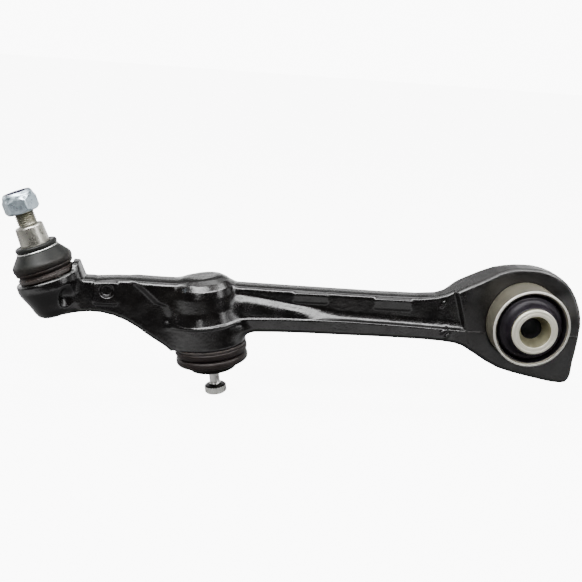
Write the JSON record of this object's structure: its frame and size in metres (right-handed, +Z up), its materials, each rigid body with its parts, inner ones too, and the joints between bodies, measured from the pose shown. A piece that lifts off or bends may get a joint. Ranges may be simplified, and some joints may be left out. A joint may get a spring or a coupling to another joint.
{
  "type": "suspension control arm",
  "caption": "Forged suspension control arm: rubber bush in the inner eye, tapered ball stud with lock nut at the outer end, support ball joint under the middle.",
  "frame": {"origin": "centre of the bush's bolt hole, in the middle plane of the arm", "axes": "+Y along the bush's bolt hole, towards the eye's back face; the arm runs along -X, towards the outer ball joint; +Z up"},
  "size_m": [0.4246, 0.0667, 0.1467],
  "materials": {
    "arm_paint": "gloss",
    "sleeve_zinc": "satin",
    "bush_rubber": "matte",
    "inner_sleeve_zinc": "satin",
    "stud_steel": "satin",
    "shell_polymer": "matte",
    "ring_steel": "satin",
    "boot_rubber": "matte",
    "band_steel": "satin",
    "wire_steel": "gloss",
    "nut_zinc": "gloss",
    "insert_polymer": "matte",
    "pin_steel": "satin",
    "seat_steel": "satin",
    "screw_zinc": "gloss"
  },
  "bodies": {
    "arm": {"arm_forging": "arm_paint", "bush_outer_sleeve": "sleeve_zinc", "bush_rubber": "bush_rubber", "ball_retaining_ring": "ring_steel", "ball_boot_base_band": "band_steel", "ball_boot": "boot_rubber", "support_retaining_ring": "ring_steel", "support_boot_base_band": "band_steel", "support_boot": "boot_rubber"},
    "bush_core": {"bush_inner_sleeve": "inner_sleeve_zinc"},
    "ball_shell": {"ball_bearing_shell": "shell_polymer"},
    "boot_ring": {"ball_boot_top_ring": "wire_steel"},
    "stud": {"ball_stud": "stud_steel", "lock_nut": "nut_zinc", "lock_nut_insert": "insert_polymer"},
    "support_shell": {"support_bearing_shell": "shell_polymer"},
    "support_ring": {"support_boot_pin_ring": "wire_steel"},
    "support_pin": {"support_pin": "pin_steel", "support_seat_disc": "seat_steel", "support_screw": "screw_zinc"}
  },
  "joints": [
    {"name": "bush_twist", "type": "hinge", "parent": "arm", "child": "bush_core", "pos_m": [0, 0, 0], "axis": [0, 1, 0], "range_deg": [-20, 20], "stiffness_Nm_per_rad": 60},
    {"name": "ball_side_swing", "type": "hinge", "parent": "arm", "child": "ball_shell", "pos_m": [-0.345, 0, 0.0038], "axis": [0.9367, 0, 0.3502], "range_deg": [-6, 6]},
    {"name": "ball_swing", "type": "hinge", "parent": "ball_shell", "child": "boot_ring", "pos_m": [-0.345, 0, 0.0038], "axis": [0, 1, 0], "range_deg": [-20, 20], "deforming": ["ball_boot"]},
    {"name": "stud_spin", "type": "hinge", "parent": "boot_ring", "child": "stud", "pos_m": [-0.345, 0, 0.0038], "axis": [-0.3502, 0, 0.9367], "continuous": true},
    {"name": "support_side_swing", "type": "hinge", "parent": "arm", "child": "support_shell", "pos_m": [-0.2338, 0, -0.0058], "axis": [0.9877, 0, 0.1564], "range_deg": [-5, 5]},
    {"name": "support_swing", "type": "hinge", "parent": "support_shell", "child": "support_ring", "pos_m": [-0.2338, 0, -0.0058], "axis": [0, 1, 0], "range_deg": [-14, 14], "deforming": ["support_boot"]},
    {"name": "support_spin", "type": "hinge", "parent": "support_ring", "child": "support_pin", "pos_m": [-0.2338, 0, -0.0058], "axis": [0.1564, 0, -0.9877], "continuous": true}
  ]
}
